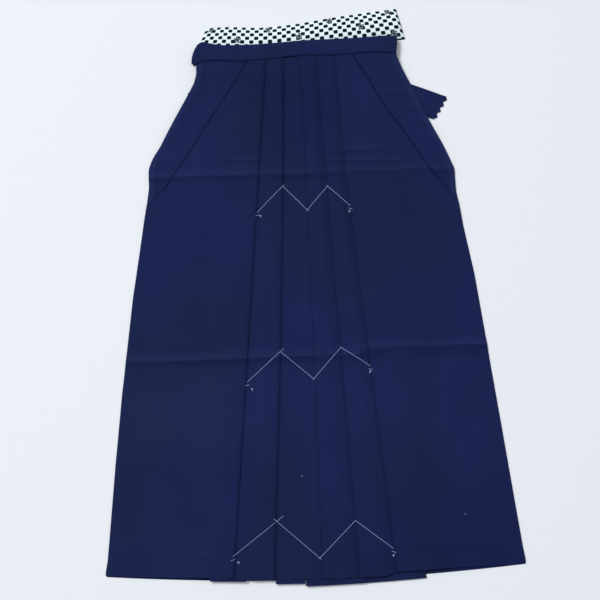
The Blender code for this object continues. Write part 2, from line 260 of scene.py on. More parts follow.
# How much shade is painted below a crease's crest, and light above it
CREASE_PAINTED_SHADE, CREASE_PAINTED_LIGHT = 0.55, 0.17
BACK_CREASE_SHARE, BACK_CREASE_SHIFT = 0.3, 6   # creases of the back beside the front's
BACK_WAVE, BACK_LIFT = 0.12, 0.02
# Broad soft patches of painted light and shade. Columns: x, drop, reach across, reach down,
# paler (+) or deeper (-)
PAINTED_LIGHT_PATCHES = ((-240, 625, 250, 130, 0.28), (60, 620, 420, 110, 0.09), (-200, 185, 150, 55, 0.12),
         (-250, 450, 140, 140, 0.05), (-280, 820, 170, 220, 0.08), (250, 910, 330, 230, -0.9),
         (-10, 95, 150, 150, -0.9))
# Soft unevenness. Columns: size across, size along, height
UNEVENNESS = ((120, 110, 0.55), (46, 40, 0.28), (17, 15, 0.08))

# Basting threads. Columns of a turn: x, drop, how far the thread that comes in and the one
# that goes out overshoot it
BASTING = {
    "upper": ((-84, 286, 0, 0), (-36.5, 240, 5, 2), (4.5, 285, 4, 3), (41.5, 243.5, 2, 2),
              (80.5, 281, 0, 0)),
    "middle": ((-112.5, 582, 0, 0), (-53, 531.5, 9, 3), (1.5, 580.5, 4, 3), (50.5, 529, 2, 2),
               (100.5, 564, 0, 0)),
    "lower": ((-146.5, 869, 0, 0), (-71, 814.5, 15, 8), (-2.5, 877, 4, 3), (59.5, 819, 2, 2),
              (121, 868, 0, 0)),
}
# The pieces on top, which they lie on
TOP_PIECES = ("front_panel_left", "front_panel_right", "side_pleat_strip_left",
              "side_pleat_strip_right", "front_band_strip", "back_tie_folded_right")
TACKS = ((243, 817), (-26, 742))  # loose ends of thread
TACK_ENDS = ((-1.2, -0.6), (1.4, 0.8))  # past its middle
THREAD_STEPS = 26
THREAD_DIP = 1.2            # of both ends into the cloth
THREAD_CLEAR = 0.15         # between a thread and the cloth
THREAD_PULL = 0.35          # share of a hollow that a taut thread bridges
END_TICK = ((-2.6, 5.7), (4.2, 3.4))  # a short stitch past each end
# Where the knots lie past the left and the right end
END_KNOTS = {"upper": ((6.4, 5.8), (-2.8, 9)), "middle": ((9, 11.5), (-2.4, 8.3)),
             "lower": ((9.8, 9), (-1.7, 9.9))}
KNOT_SIZE, KNOT_POINTS = 1, 32
KNOT_TAIL = ((-1.4, -2.2), (0.8, 2.6))  # a short stitch through the knot
STITCH_CHORD = 5            # distance between the points of a seam laid on the cloth
STITCH_LIFT = 0.05
OVER_ALL = 60               # a height above every piece
SEAM_INSET = 3              # of a row of stitches from the cloth's edge
HEM_SEAM = (4, 8, 12)       # from the centre, from the side seam, between its points
TIE_SEAM = (6, 56, 4)       # from and to past the folded run, and between its points
# Rows beside the side openings. Columns: outlines, distance from them, first drop, how far
# above the opening's end the last is
OPENING_SEAMS = ((SIDE_OPENING, SEAM_INSET, 8, 14), (SIDE_EDGE, SIDE_HEM + 1, 12, 58))
OPENING_SEAM_STEP = 8
BAND_SEAM_ROWS = 60
STITCH_WIDTH = 0.28         # of a stitch's length
STITCH_SPACING = {"hem": 0.011, "openings": 0.007, "band": 0.009, "tie": 0.006}   # metres

# Cloth and thread. Yarn pitches are in metres; the scales are those of the noise
NAVY_PITCH, CHECK_PITCH = 0.0011, 0.0006
WARP_STREAKS, WEFT_STREAKS = (900, 14, 1), (11, 700, 1)
MOTTLE_SCALE, PATCH_SCALE, FUZZ_SCALE = 15, 4.6, 620
WANDER_SCALE, FIBRE_SCALE, GRAIN_SCALE = 260, 1500, 40
PALE = 1.7                  # how much paler the palest dye is than the deepest
PALE_SQUARES = (-0.13, -0.03)  # where the wave of the check turns from black to white
BLOSSOM_ROWS = 0.19         # distance of the rows of blossoms over that of the columns
BLOSSOM_START = (0.37, 0.2)
BLOSSOM_TURN = 1.7
PETALS, PETAL_DEPTH = 5, 0.26
YARN_GLINT = (0.25, 0.27, 0.3)  # of the highest yarns

# Stage. Columns of a lamp: name, place, size, power
FLOOR_HALF = 6
FLOOR_GRAIN = (0.6, 0.62, 0.66)
ROOM = ((0.93, 0.96, 1, 1), 0.36)  # colour and strength of the room's light
LAMPS = (("window", (-4.2, 3.7, 7.8), 3, 655), ("ceiling", (0.1, -0.7, 3), 2.2, 16))
LENS = (64.1, 36)           # focal length and sensor width
CAMERA_TURN = (math.radians(10), 0, math.radians(-2.6))
CAMERA_AIM, CAMERA_AWAY = (-0.006, -0.0235, 0), 1.846


# ------------ shapes of the cut


def mix(a, b, share):
    return a + (b - a) * share


def shares(count):
    """From 0 to 1 in even steps."""
    return [index / count for index in range(count + 1)]


def clamp(value):
    return min(1, max(0, value))


def ease(low, high, value):
    """0 at low and 1 at high, with a soft start and end."""
    share = clamp((value - low) / (high - low))
    return share * share * (3 - 2 * share)


def at(table, key):
    """Read a table of (key, value) with straight lines between its rows."""
    if key <= table[0][0]:
        return table[0][1]
    for (key_a, value_a), (key_b, value_b) in zip(table, table[1:]):
        if key <= key_b:
            return mix(value_a, value_b, (key - key_a) / (key_b - key_a))
    return table[-1][1]


def softly(table, key, reach):
    """Read a table with its corners rounded."""
    return sum(at(table, key + reach * part) for part in (-1, -0.5, 0, 0.5, 1)) / 5


def through(rows, count):
    """A smooth curve through rows of numbers, as count rows."""
    last = len(rows) - 1
    made = []
    for share in shares(count - 1):
        first = min(int(last * share), last - 1)
        t = last * share - first
        a, b, c, d = (rows[min(last, max(0, first + step))] for step in (-1, 0, 1, 2))
        made.append([
            0.5 * (2 * q + (r - p) * t + (2 * p - 5 * q + 4 * r - s) * t * t
                   + (3 * q - p - 3 * r + s) * t ** 3)
            for p, q, r, s in zip(a, b, c, d)])
    return made


def place(x, drop, height):
    return Vector(((x - MIDDLE_X) * MM, (MIDDLE_DROP - drop) * MM, height * MM))


def ply_height(level):
    return CLOTH / 2 + level * PITCH


def hem_drop(x):
    return LENGTH - HEM_RISE * (x - HEM_LOW_X) ** 2


def varied(middle, reach, *spot):
    """A value that drifts up to `reach` either side of its middle from spot to spot."""
    return middle + reach * noise.noise(Vector(spot))


def uneven(x, drop, seed):
    return sum(varied(0, height, x / across, drop / along, seed)
               for across, along, height in UNEVENNESS)


def creased(x, drop):
    """Height of the pressed creases at a point, and the light (+) or shade (-) painted on
    their sides: each crease rises to an edge, then falls away."""
    total = shade = 0
    for x_a, drop_a, x_b, drop_b, height, above, below in CREASES:
        if not x_a < x < x_b:
            continue
        stray = varied(0, CREASE_STRAY, x / CREASE_STRAY_LENGTH, drop_a, 7)
        away = drop - mix(drop_a, drop_b, (x - x_a) / (x_b - x_a)) - stray
        width, curve, way = (above, RISE_CURVE, 1) if away < 0 else (below, FALL_CURVE, -1)
        near = 1 - abs(away) / width
        if near > 0:
            height *= ease(0, CREASE_FADE, min(x - x_a, x_b - x))
            height *= varied(*CREASE_STRENGTH, x / CREASE_CHANGE_LENGTH, drop_b, 11)
            total += height * near ** curve
            shade += height * near * way * ease(0, CREASE_CREST, abs(away))
    return total, shade


def wear_and_painted_light(x, drop, painted_shade, rubbed_and_painted_light):
    """Marks of the cloth as (painted shade, wear and painted light), adding the painted shadow under
    the band and the painted light and shade of the creases and broad patches.
    """
    shade = creased(x, drop)[1]
    painted_shade = max(painted_shade, ease(*BAND_PAINTED_SHADOW, drop - band_lower(x)))
    painted_shade += CREASE_PAINTED_SHADE * max(0, -shade)
    rubbed_and_painted_light += CREASE_PAINTED_LIGHT * max(0, shade)
    for middle_x, middle_drop, across, down, change in PAINTED_LIGHT_PATCHES:
        near = 1 - ease(0, 1, math.hypot((x - middle_x) / across, (drop - middle_drop) / down))
        rubbed_and_painted_light += near * max(0, change)
        painted_shade += near * max(0, -change)
    return painted_shade, rubbed_and_painted_light


def band_lower(x):
    """Drop of the front band's lower edge."""
    return at([(low_x, lower) for low_x, lower, _, _ in FRONT_BAND[BAND_CORNERS:]], x)


def front_height(side, x, drop, ply):
    """Height of a front ply's middle: level over the pleats, falling to the side seams, the
    plies pressed together where the band is sewn over them."""
    if abs(ply - 1) < PRESSED_PLIES:
        ply = 1 + (ply - 1) * (1 - PRESSED_AT_BAND * ease(*PRESSED_OVER, drop))
    seam = abs(at(SIDE_EDGE[side], drop))
    across = clamp((abs(x) - FLAT_HALF) / (seam - FLAT_HALF))
    down = clamp((drop - FALL_FROM) / (FALL_TO - FALL_FROM))
    lift = LIFT * ease(*LIFT_OVER, drop)
    hem = TURN_UP_STEP * (ply + 1) * ease(*TURN_UP_OVER, drop - hem_drop(x) + TURN_UP)
    return (ply_height(FRONT_LEVEL + ply) - FALL * across * down + lift + hem
            + creased(x, drop)[0] + uneven(x, drop, 1))


def part_way(start, end, share):
    return tuple(mix(a, b, share) for a, b in zip(start, end))


def span(start, end, count):
    """Points from one toward another, without the last."""
    return [part_way(start, end, index / count) for index in range(count)]


def legs(start, *ends):
    """Points (x, ply, hem drop, painted shade) from start through each (count, point),
    without the last."""
    points = []
    for count, end in ends:
        points += span(start, end, count)
        start = end
    return points


def half_round(count):
    """Shares of half a circle: how far in from its outermost point, how far across."""
    angles = [math.pi * share for share in shares(count)]
    return [(1 - math.sin(angle), (1 - math.cos(angle)) / 2) for angle in angles]


def turn(x, way, ply_a, ply_b, drop_a, drop_b, painted_shade=0):
    """A folded edge: half a circle whose round side faces `way`."""
    return [(x - way * TURN * inward, mix(ply_a, ply_b, over), mix(drop_a, drop_b, over), painted_shade)
            for inward, over in half_round(6)]


def out_and_back(start, edge, way, lower, end, count, painted_shade=0):
    """Out to a fold at x edge, round it and back on the next ply, without the last point."""
    brink, ply = edge - way * TURN, end[1] - 1
    return (span(start, (brink, ply, lower, 0), count)
            + turn(edge, way, ply, ply + 1, lower, lower, painted_shade)
            + span((brink, ply + 1, lower, 0), end, count)[1:])


def fold_line(line, drop):
    return softly(list(zip(STATIONS, line)), drop, FOLD_REACH)


def pleated_row(side, drop):
    """One row across a front piece: (x, ply, hem drop, painted shade) from centre seam to edge.

    Each visible face slopes down and dips into a trough before the next fold's edge, where shade is
    painted into the colour."""
    sign = SIGN[side]
    down = max(0, drop) / STATIONS[-1]
    centre, waist, hem, *_ = FRONT_FOLDS["right"][0]
    seam = fold_line(centre, drop) + mix(waist, hem, down) / 2
    here = (seam + sign * CENTRE_GAP, 0, FRONT_FOLDS[side][0][3], 0)
    points = []
    for index, (line, waist, hem, under, back, face) in enumerate(FRONT_FOLDS[side]):
        fold = fold_line(line, drop)
        outer = fold + sign * mix(waist, hem, down)
        if index or side == "left":
            steps, level = 11, HOLLOW_FROM if index else 0
            if index and side == "left":
                step = fold - sign * mix(HOLLOW_WIDTH + 2, HEM_STEP_BEFORE, down)
                points += span(here, (step, level, under, 0), 7)
                here = (step + sign * STEP_WIDTH, level, back, 0)
                steps, under = 4, back
            points += legs(here, (steps, (fold - sign * HOLLOW_WIDTH, level, under, 0)),
                           (3, (fold - sign * PLEAT_TUCK, HOLLOW_PLY, under, 1)),
                           (2, (fold + sign, HOLLOW_PLY, under, 1)),
                           (1, (fold + 2 * sign, HOLLOW_PLY, back, 1)))
            here = (fold + 2 * sign, HOLLOW_PLY, back, 1)
        near, edge = fold + sign * TURN, 2 - FOLD_SINK
        points += out_and_back(here, outer, sign, back, (near, 1, face, 0), 3)
        points += turn(fold, -sign, 1, edge, face, face, 1)
        here = (outer + sign * PLEAT_REST, 2, face, 0)
        points += legs((near, edge, face, 1), (3, (fold + sign * FOLD_ROUND, 2, face, 0)),
                       (6, here))[1:]
    past_opening = drop - OPENING_END[side]
    edge = softly(SIDE_OPENING[side] if past_opening < 0 else SIDE_EDGE[side], drop, CORNER)
    ply = 2 * (1 - ease(0, OPENING_EASE, past_opening))
    lower = SIDE_HEM_DROP[side]
    allowance = edge - sign * min(SEAM_ALLOWANCE, abs(edge - here[0]) / 2)
    # Shade painted along the opening's edge, fading past its end
    deep = EDGE_PAINTED_SHADE * (1 - ease(OPENING_SHADE_FROM, OPENING_EASE, past_opening))
    last = (edge, ply - EDGE_SINK, lower, deep)
    points += legs(here, (8, (mix(here[0], edge, 0.25), ply, mix(here[2], lower, 0.25), 0)),
                   (22, (allowance, ply, lower, 0)),
                   (6, (edge - sign * EDGE_ROUND, ply, lower, 0)), (3, last))
    return points + [last]


# ------------ making cloth


def lengths_along(points):
    """How far along a line each of its points is."""
    return [0, *accumulate((b - a).length for a, b in zip(points, points[1:]))]


def grid_mesh(name, rows, points):
    """A grid through rows of points, with the marks of its spots. Its cloth map is in metres
    along the weave."""
    mesh = bpy.data.meshes.new(name)
    bm = bmesh.new()
    bmesh.ops.create_grid(bm, x_segments=len(rows[0]) - 1, y_segments=len(rows) - 1, size=1)
    lay = bm.loops.layers.uv.new("cloth")
    layers = [bm.verts.layers.float.new(mark) for mark in ("painted_shade", "rubbed_and_painted_light")]
    for vert, point, spot in zip(bm.verts, chain(*points), chain(*rows)):
        vert.co = point
        for layer, mark in zip(layers, spot[3:]):
            vert[layer] = mark
    bm.verts.index_update()
    below = lengths_along([line[-1] for line in points])
    where = [(along, down) for line, down in zip(points, below) for along in lengths_along(line)]
    for face in bm.faces:
        face.smooth = True
        for loop in face.loops:
            loop[lay].uv = where[loop.vert.index]
    bm.to_mesh(mesh)
    bm.free()
    return mesh


def finished(thing):
    """Make the object's modifiers part of its mesh."""
    seen = thing.evaluated_get(bpy.context.evaluated_depsgraph_get())
    mesh = bpy.data.meshes.new_from_object(seen)
    thing.modifiers.clear()
    old, thing.data = thing.data, mesh
    bpy.data.meshes.remove(old)


def new_object(name, data, material=None):
    thing = bpy.data.objects.new(name, data)
    bpy.context.scene.collection.objects.link(thing)
    if material:
        data.materials.append(material)
    return thing


def woven(slot):
    """The cloth of a slot, which its pieces share."""
    name, make = WOVEN[slot]
    return bpy.data.materials.get(name) or make(name)


def cloth_piece(name, node, rows, layers=1):
    """A cloth piece that stands for a node. Its rows hold spots: x, drop, height and, where
    colour is marked, how much shade is painted and how much wear and painted light it has."""
    slot = "check_cloth" if node == "back_facing" else "navy_cloth"
    points = [[place(*spot[:3]) for spot in row] for row in rows]
    thing = new_object(name, grid_mesh(name, rows, points), woven(slot))
    wall = thing.modifiers.new("wall", "SOLIDIFY")
    wall.thickness = bpy.context.scene.hakama_sizes.cloth * layers
    wall.offset = 0
    wall.use_even_offset = True
    wall.use_quality_normals = True
    finished(thing)
    thing.data.set_sharp_from_angle(angle=SHARP_EDGE)
    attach(thing, BODY)
    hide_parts(node)


def row_shares(fine, coarse, *zones):
    """Shares down a panel, closer together inside the zones of (drop, reach)."""
    drops = [0]
    while drops[-1] < LENGTH - PANEL_TOP:
        here = drops[-1] + PANEL_TOP
        near = min(max(0, abs(here - drop) - reach) for drop, reach in zones)
        drops.append(drops[-1] + min(coarse, fine + near * WIDENING))
    return [drop / drops[-1] for drop in drops]


def front_panel(side):
    rows = []
    for share in row_shares(*FRONT_ROWS):
        nominal = mix(PANEL_TOP, LENGTH, share)
        row = []
        for (x, ply, lower, painted_shade), (x_further, *_) in zip(
                pleated_row(side, nominal), pleated_row(side, nominal + SLANT_STEP)):
            drop = mix(PANEL_TOP, hem_drop(x) + lower, share)
            x += (x_further - x) * (drop - nominal) / SLANT_STEP
            # The hem's edge wears paler; shade is painted along the hem's seam
            edge = HEM_WEAR * ease(HEM_WEAR_DEPTH, 0, hem_drop(x) + lower - drop)
            sewn = ease(HEM_SEAM_HALF, 0, abs(hem_drop(x) - TURN_UP - drop))
            sewn *= clamp(varied(*HEM_SEAM_SHADE, x / HEM_SEAM_CHANGE, 4, ply))
            row.append((x, drop, front_height(side, x, drop, ply),
                        *wear_and_painted_light(x, drop, max(painted_shade, sewn), edge)))
        rows.append(row)
    cloth_piece("front_panel_" + side, "front_" + side, rows)


def side_strip(side):
    """The strip of the side opening, folded along its outer edge and hemmed beside it."""
    sign = SIGN[side]
    rows = []
    for share in shares(SIDE_STRIP_ROWS):
        drop = mix(PANEL_TOP, SIDE_PLEAT_END[side], share)
        outer = softly(SIDE_EDGE[side], drop, WIDE_CORNER)
        room = max(SIDE_PLEAT_LEAST, abs(outer - softly(SIDE_OPENING[side], drop, CORNER)))
        opening = outer - sign * room
        hem = (outer - sign * min(SIDE_HEM, room * SIDE_HEM_MOST), 1, 0, 0)
        brink = (opening + sign * min(SIDE_BRINK, room * SIDE_BRINK_MOST), 1, 0, 0)
        # Shade is painted along the opening's edge and round the strip's outer fold
        under, end = ((opening - sign * LAP, ply, 0, EDGE_PAINTED_SHADE * ply) for ply in (0, 1))
        section = out_and_back(under, outer, sign, 0, hem, 8, 0.3)
        section += legs(hem, (12, brink), (3, (opening, 1 - EDGE_SINK, 0, EDGE_PAINTED_SHADE)), (3, end))
        pucker = varied(*PUCKER, drop / PUCKER_LENGTH, sign, 3)
        row = []
        for x, ply, _, painted_shade in section + [end]:
            past_hem = abs(outer - x) - SIDE_HEM
            in_hem = ease(SIDE_HEM_SOFT, -SIDE_HEM_SOFT, past_hem) * min(1, ply)
            height = front_height(side, x, drop, ply) + in_hem * SIDE_HEM_STEP * pucker
            # Shade is painted along the side hem's seam; the hem wears paler
            sewn = SIDE_SEAM_SHADE * ease(SIDE_SEAM_HALF, 0, abs(past_hem - 1)) * min(1, ply)
            marks = wear_and_painted_light(x, drop, max(painted_shade, sewn), SIDE_HEM_WEAR * in_hem)
            row.append((x, drop, height, *marks))
        rows.append(row)
    cloth_piece("side_pleat_strip_" + side, "side_pleat_" + side, rows)


def back_height(x, drop, level):
    """Back plies lie flat; pressed creases stand up from them a little."""
    rise = BACK_CREASE_SHARE * creased(-x, drop + BACK_CREASE_SHIFT)[0]
    return ply_height(BACK_LEVEL + level) + rise + BACK_WAVE * uneven(x, drop, 5) + BACK_LIFT


def back_drop(x, lower, share):
    """The drop at a share of the way from the back's top seam to its hem."""
    return mix(at(BACK_SEAM, x) + SEAM_GAP, hem_drop(x) + lower, share)


def back_panel(side):
    """The outside lies down; the centre pleat goes out over it and comes back."""
    sign = SIGN[side]
    waist_depth, hem_depth, centre_lower, side_lower, pleat_lower, fold_lower = BACK_PLEATS[side]
    fold = sign * BACK_FOLD_X
    turned, end = fold + sign * TURN, (fold, 2, pleat_lower, 0)
    rows = []
    for share in row_shares(*BACK_ROWS):
        reach = sign * mix(waist_depth, hem_depth, share)
        spots = []
        for index in range(BACK_COLUMNS):
            part, x = index / BACK_COLUMNS, turned
            for _ in range(4):
                drop = back_drop(x, mix(side_lower, centre_lower, part), share)
                x = mix(softly(SIDE_EDGE[side], drop, CORNER), turned, part)
            spots.append((x, drop, 0, 0))
        # Shade is painted round the pleat's fold
        section = turn(fold, -sign, 0, 1, centre_lower, pleat_lower, 1)
        section += out_and_back((turned, 1, pleat_lower, 0), reach, sign, fold_lower, end, 8)[1:]
        spots += [(x, back_drop(x, lower, share), ply, painted_shade)
                  for x, ply, lower, painted_shade in section + [end]]
        rows.append([(x, drop, back_height(x, drop, ply), painted_shade) for x, drop, ply, painted_shade in spots])
    cloth_piece("back_panel_" + side, "back_" + side, rows)


def gusset(side):
    crotch, hem, lowers = GUSSETS[side]
    rows = []
    for share in shares(GUSSET_ROWS):
        inner, outer = part_way(crotch, hem, share)
        end = (inner, 1, 0, 0)
        row = []
        for x, ply, _, _ in out_and_back((inner, 0, 0, 0), outer, SIGN[side], 0, end, 7) + [end]:
            lower = mix(*lowers, (x - inner) / (outer - inner))
            row.append((x, mix(CROTCH_DROP, hem_drop(x) + lower, share),
                        ply_height(GUSSET_LEVEL + ply)))
        rows.append(row)
    cloth_piece("inner_leg_gusset_" + side, "gusset_" + side, rows)


def front_band():
    """A strip folded over the tops of the front plies, its lower edge turned in."""
    table = through(FRONT_BAND, BAND_ROWS)
    lines = [(table[0], part, -1) for part in reversed(BAND_END_STEPS)]
    lines += [(line, 0, 0) for line in table]
    lines += [(table[-1], part, 1) for part in BAND_END_STEPS]
    up, round_top, down = BAND_COLUMNS
    rows = []
    for (low_x, lower, high_x, upper), part, way in lines:
        shut = math.sqrt(1 - part * part)
        section = span((BAND_BACK_EDGE, BAND_BACK_PLY), (upper, BAND_BACK_PLY), up)
        section += [(upper + BAND_END * inward, mix(BAND_BACK_PLY, BAND_PLY, over))
                    for inward, over in half_round(round_top)]
        section += span((upper + BAND_END, BAND_PLY), (lower - 0.5, BAND_PLY), down)[1:]
        section += [(lower - above, BAND_PLY - sunk) for above, sunk in BAND_EDGE]
        row = []
        for drop, ply in section:
            share = (lower - drop) / (lower - upper)
            x = mix(low_x, high_x, share)
            side = "left" if x < 0 else "right"
            crown = BAND_CROWN * math.sin(math.pi * clamp(share)) if ply > BAND_SIDE_PLY else 0
            height = mix(front_height(side, x, drop, 1) + BAND_END_RISE,
                         front_height(side, x, drop, ply) + crown, shut)
            out = way * part * BAND_END * (1 - BAND_END_TAPER * ease(0.5, 1, share))
            # Shade is painted along the band's rolled lower edge; its closed ends wear paler
            seam = BAND_SEAM_SHADE * ease(2, 0, abs(lower - drop)) if ply > BAND_FACE_PLY else 0
            row.append((x + out, drop, height, seam, BAND_END_WEAR * part))
        rows.append(row)
    cloth_piece("front_band_strip", "front_band", rows)


def back_band():
    rows = []
    for low_x, high_x, upper in through(BACK_BAND, BACK_BAND_ROWS):
        lower, upper = (low_x, at(BACK_SEAM, low_x)), (high_x, upper)
        rows.append([(*part_way(lower, upper, share), ply_height(BACK_LEVEL))
                     for share in shares(BACK_BAND_COLUMNS)])
    cloth_piece("back_band_strip", "back_band", rows)


def back_facing():
    """The check cloth on the back band, arched over its stiffening and rolled at the top."""
    table = through(BACK_BAND, FACING_ROWS)
    first, last = table[0][0], table[-1][0]
    rows = []
    for low_x, high_x, upper in table:
        from_end = min(low_x - first, last - low_x)
        shut = math.sqrt(1 - (1 - clamp(from_end / FACING_END)) ** 2)
        inset = FACING_SIDE * (low_x - first) / (last - first)
        row = [(high_x - inset, upper - FACING_TUCK[0], ply_height(BACK_LEVEL) + FACING_TUCK[1])]
        for share in reversed(shares(FACING_COLUMNS)):
            arch = math.sin(math.pi * share)
            crown = FACING_CROWN * arch ** FACING_FULLNESS
            wave = uneven(low_x, FACING_DEPTH * share, 9) * arch
            row.append((mix(low_x, high_x, share) - inset,
                        mix(at(BACK_SEAM, low_x) - FACING_HEM, upper, share),
                        ply_height(BACK_LEVEL + 1) + (crown + wave) * shut))
        rows.append(row)
    cloth_piece("back_band_facing", "back_facing", rows)


# ------------ ties


def tie_path(run):
    """Run and height along a tie folded to and fro, ply on ply."""
    path = []
    for ply in range(TIE_PLIES):
        start, end, way = (0, run, 1) if ply % 2 else (run, 0, -1)
        path += span((start, ply), (end, ply), round(run / TIE_STEP))[min(ply, 1):]
        if ply < TIE_PLIES - 1:
            path += [(x, level) for x, level, *_ in turn(end, way, ply, ply + 1, 0, 0)]
    return [(x, ply_height(TIE_LEVEL + level)) for x, level in path + [(run, TIE_PLIES - 1)]]


def tie_piece(which, side, rows):
    cloth_piece(f"{which}_tie_folded_{side}", f"{which}_tie_{side}", rows,
                layers=TIE_WALL)


def front_tie(side):
    inner = SIGN[side] * FRONT_TIE["x"]
    outer = inner + SIGN[side] * FRONT_TIE["width"]
    tie_piece("front", side, [
        [(mix(inner, outer, share), FRONT_TIE["top"] + run, height) for share in shares(4)]
        for run, height in tie_path(FRONT_TIE["run"])])


def tie_place(side, run, across):
    """Where a point of the back tie lies, as (x, drop)."""
    slope = math.radians(BACK_TIE["slope"])
    along = run - BACK_TIE["run"]
    x = BACK_TIE["x"] + along * math.cos(slope) - across * math.sin(slope)
    return SIGN[side] * x, BACK_TIE["top"] + along * math.sin(slope) + across * math.cos(slope)


def back_tie(side):
    width, run_length, free = BACK_TIE["width"], BACK_TIE["run"], side == "right"
    columns = shares(8 * PINKED_TEETH if free else 8)
    rows = [[(*tie_place(side, run, share * width), height) for share in columns]
            for run, height in tie_path(run_length)]
    for part in shares(FREE_END_ROWS)[1:] if free else ():
        row = []
        for share in columns:
            tooth = abs((share * PINKED_TEETH) % 1 - 0.5) * 2
            past = (mix(*FREE_END_REACH, share) - PINKING * tooth) * part
            bow = FREE_END_BOW * math.sin(math.pi * share) * part
            row.append((*tie_place(side, run_length + past, share * width),
                        softly(FREE_END, past, WIDE_CORNER) + bow))
        rows.append(row)
    tie_piece("back", side, rows)


# ------------ node trees


def maths(operation, turned=False):
    """A method that adds a Math node. Turned, the wire's own value comes last."""
    def method(self, *others):
        values = (*others, self) if turned else (self, *others)
        return self.graph.add("ShaderNodeMath", enumerate(values), operation=operation)[0]
    return method


class Wire:
    """A node's socket. Arithmetic on it adds Math nodes."""

    def __init__(self, graph, socket):
        self.graph, self.socket = graph, socket

    __add__, __radd__ = maths("ADD"), maths("ADD", True)
    __sub__, __rsub__ = maths("SUBTRACT"), maths("SUBTRACT", True)
    __mul__, __rmul__ = maths("MULTIPLY"), maths("MULTIPLY", True)
    __truediv__, __rtruediv__ = maths("DIVIDE"), maths("DIVIDE", True)
    sine, cosine, angle_to = maths("SINE"), maths("COSINE"), maths("ARCTAN2")
    root, floor = maths("SQRT"), maths("FLOOR")

    def between(self, low, high):
        """0 below low, 1 above high, soft between."""
        inputs = {"Value": self, "From Min": low, "From Max": high}
        return self.graph.add("ShaderNodeMapRange", inputs, interpolation_type="SMOOTHSTEP")[0]


class Graph:
    """A node tree that is written as expressions."""

    def __init__(self, tree):
        self.tree = tree

    def add(self, kind, inputs=(), **settings):
        """A node with its settings and inputs; returns its outputs as wires."""
        node = self.tree.nodes.new(kind)
        for name, value in settings.items():
            setattr(node, name, value)
        for name, value in dict(inputs).items():
            if isinstance(value, Wire):
                self.tree.links.new(value.socket, node.inputs[name])
            else:
                node.inputs[name].default_value = value
        return [Wire(self, socket) for socket in node.outputs if socket.enabled]

    def blend(self, share, a, b):
        """Colour a where share is 0, b where it is 1."""
        return self.add("ShaderNodeMix", {"Factor": share, 6: solid(a), 7: solid(b)},
                        data_type="RGBA", clamp_factor=True)[0]

    def noise(self, vector, scale, detail=2, roughness=0.5):
        return self.add("ShaderNodeTexNoise", {
            "Vector": vector, "Scale": scale, "Detail": detail, "Roughness": roughness})[0]

    def scaled(self, vector, *scale):
        return self.add("ShaderNodeVectorMath", {0: vector, 1: scale}, operation="MULTIPLY")[0]

    def mark(self, name):
        return self.add("ShaderNodeAttribute", attribute_name=name)[2]


def new_material(name):
    """A material, its graph and where each point of the object is."""
    material = bpy.data.materials.new(name)
    material.use_nodes = True
    material.node_tree.nodes.clear()
    graph = Graph(material.node_tree)
    return material, graph, graph.add("ShaderNodeTexCoord")[3]


def finish_surface(graph, inputs, height, strength, distance):
    normal = graph.add("ShaderNodeBump", {
        "Height": height, "Strength": strength, "Distance": distance})[0]
    shader = graph.add("ShaderNodeBsdfPrincipled", {"Metallic": 0, "Normal": normal, **inputs})[0]
    graph.add("ShaderNodeOutputMaterial", {"Surface": shader})


def solid(colour):
    return colour if isinstance(colour, Wire) else (*colour, 1)


def weave_of(graph, pitch):
    """Plain weave on the cloth map: height of the yarns from 0 to 1."""
    cloth = graph.add("ShaderNodeUVMap", uv_map="cloth")[0]
    across, along, _ = graph.add("ShaderNodeSeparateXYZ", {0: cloth})
    turns = 2 * math.pi / pitch
    return cloth, across, along, (across * turns).sine() * (along * turns).sine() * 0.5 + 0.5


def navy_cloth(name):
    """Matt plain-woven cloth: yarn streaks, soft mottling, painted shade beside the folds,
    seams and creases and under the band, and paler edges where it wears; that mark also holds painted
    light."""
    colours = bpy.context.scene.hakama_colours
    material, graph, where = new_material(name)
    cloth, _, _, yarns = weave_of(graph, NAVY_PITCH)
    warp = graph.noise(graph.scaled(cloth, *WARP_STREAKS), 1)
    weft = graph.noise(graph.scaled(cloth, *WEFT_STREAKS), 1)
    mottle = graph.noise(graph.scaled(where, 1, 0.8, 0.2), MOTTLE_SCALE, detail=3, roughness=0.55)
    patches = graph.noise(graph.scaled(where, 1, 0.6, 0.2), PATCH_SCALE, detail=1)
    fuzz = graph.noise(where, FUZZ_SCALE)
    light = 0.5
    for part, share in ((mottle, 0.5), (warp, 0.3), (weft, 0.22), (fuzz, 0.35), (yarns, 0.12)):
        light += (part - 0.5) * share
    deep = graph.blend(patches.between(0.38, 0.62), colours.navy_green, colours.navy_violet)
    pale = graph.add("ShaderNodeVectorMath", {0: deep, 3: PALE}, operation="SCALE")[0]
    base = graph.blend(light, deep, pale)
    # This mark holds wear at the hems and band ends, and painted light above the creases and in broad
    # patches
    rubbed_and_painted_light = graph.mark("rubbed_and_painted_light")
    base = graph.blend(rubbed_and_painted_light * (0.4 + fuzz * 0.6), base, colours.rubbed_and_painted_light)
    finish_surface(graph, {
        # Painted shade beside the folds, seams and creases and under the band
        "Base Color": graph.blend(graph.mark("painted_shade") * 0.3, base, colours.painted_shade),
        "Roughness": 0.9 - (light - 0.5) * 0.2 - rubbed_and_painted_light * 0.1, "Specular IOR Level": 0.08,
        "Sheen Weight": 0.015, "Sheen Roughness": 0.5, "Sheen Tint": (0.5, 0.58, 1, 1),
    }, yarns * 0.6 + warp * 0.5 + weft * 0.4 + fuzz * 0.5, strength=0.4, distance=0.0004)
    return material


